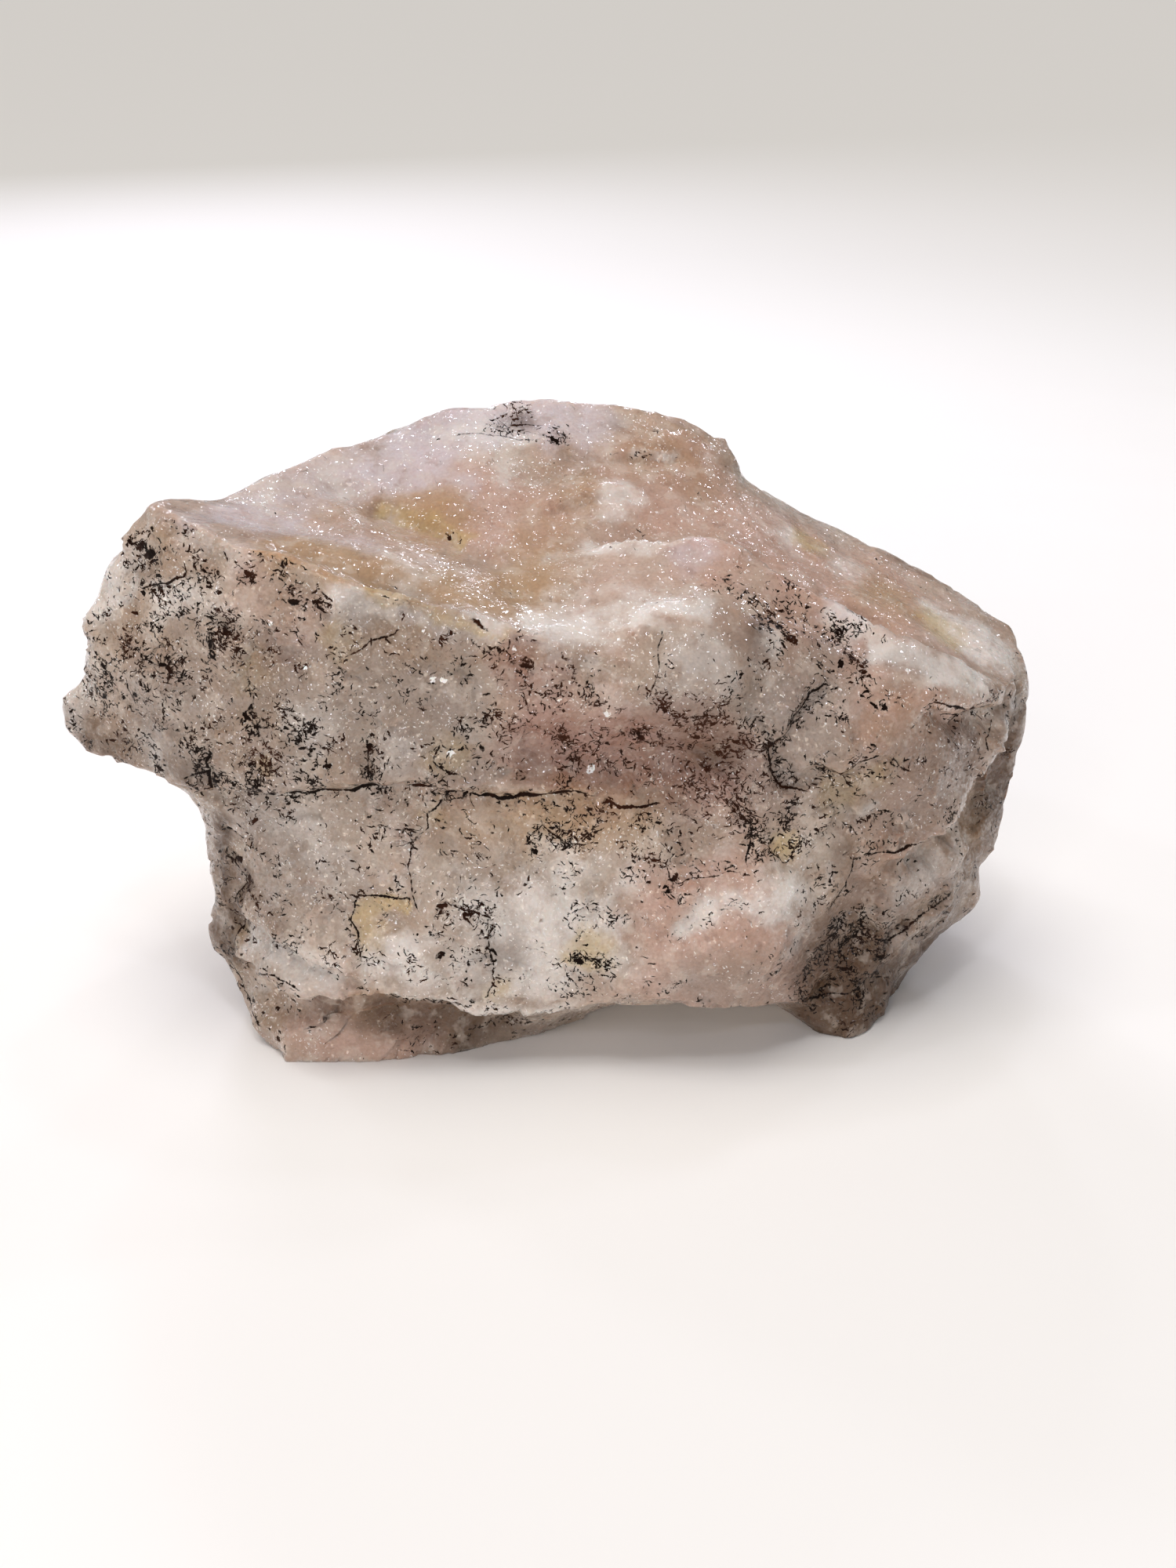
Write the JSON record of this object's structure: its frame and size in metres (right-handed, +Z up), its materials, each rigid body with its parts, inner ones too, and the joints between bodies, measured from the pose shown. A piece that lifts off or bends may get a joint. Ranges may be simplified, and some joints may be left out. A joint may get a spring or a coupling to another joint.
{
  "type": "rose quartz chunk",
  "caption": "Raw, uncut chunk of pink rose quartz with a broad speckled front face, a sloping glassy top and a flat resting base.",
  "frame": {"origin": "centre of the bounding box in plan, on the flat resting face", "axes": "+X along the stone's length, -Y out of its broad front face, +Z up"},
  "size_m": [0.2024, 0.1214, 0.12],
  "materials": {
    "rose_quartz": "rough broken quartz, glassy and sparkling, grey-pink with honey stains and black mineral specks"
  },
  "bodies": {
    "root": {"chunk": "rose_quartz"}
  },
  "joints": []
}
